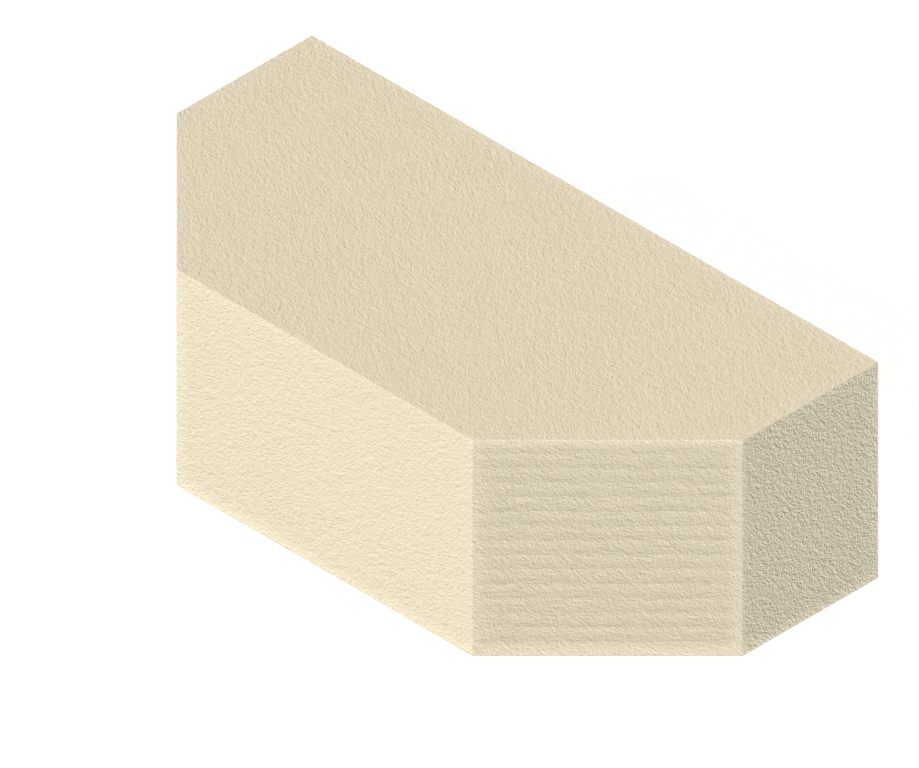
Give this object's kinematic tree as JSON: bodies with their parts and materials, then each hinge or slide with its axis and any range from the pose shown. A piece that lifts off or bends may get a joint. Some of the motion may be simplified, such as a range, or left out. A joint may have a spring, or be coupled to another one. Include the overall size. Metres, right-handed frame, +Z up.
{
  "type": "chamfered brick",
  "caption": "Solid clay brick with both front corners cut off at 45 degrees, laid flat on its bed to turn a blunt corner or end a pier.",
  "frame": {"origin": "on the floor, under the middle of the brick's bounding box", "axes": "+X along the length, +Y from the short front face to the full-length back face, +Z up through the bed faces"},
  "size_m": [0.23, 0.11, 0.076],
  "materials": {
    "fired_clay": "matt cream fired clay with a sandy grain, and fine level drag ridges on the two cut faces"
  },
  "bodies": {
    "root": {"brick": "fired_clay"}
  },
  "joints": []
}
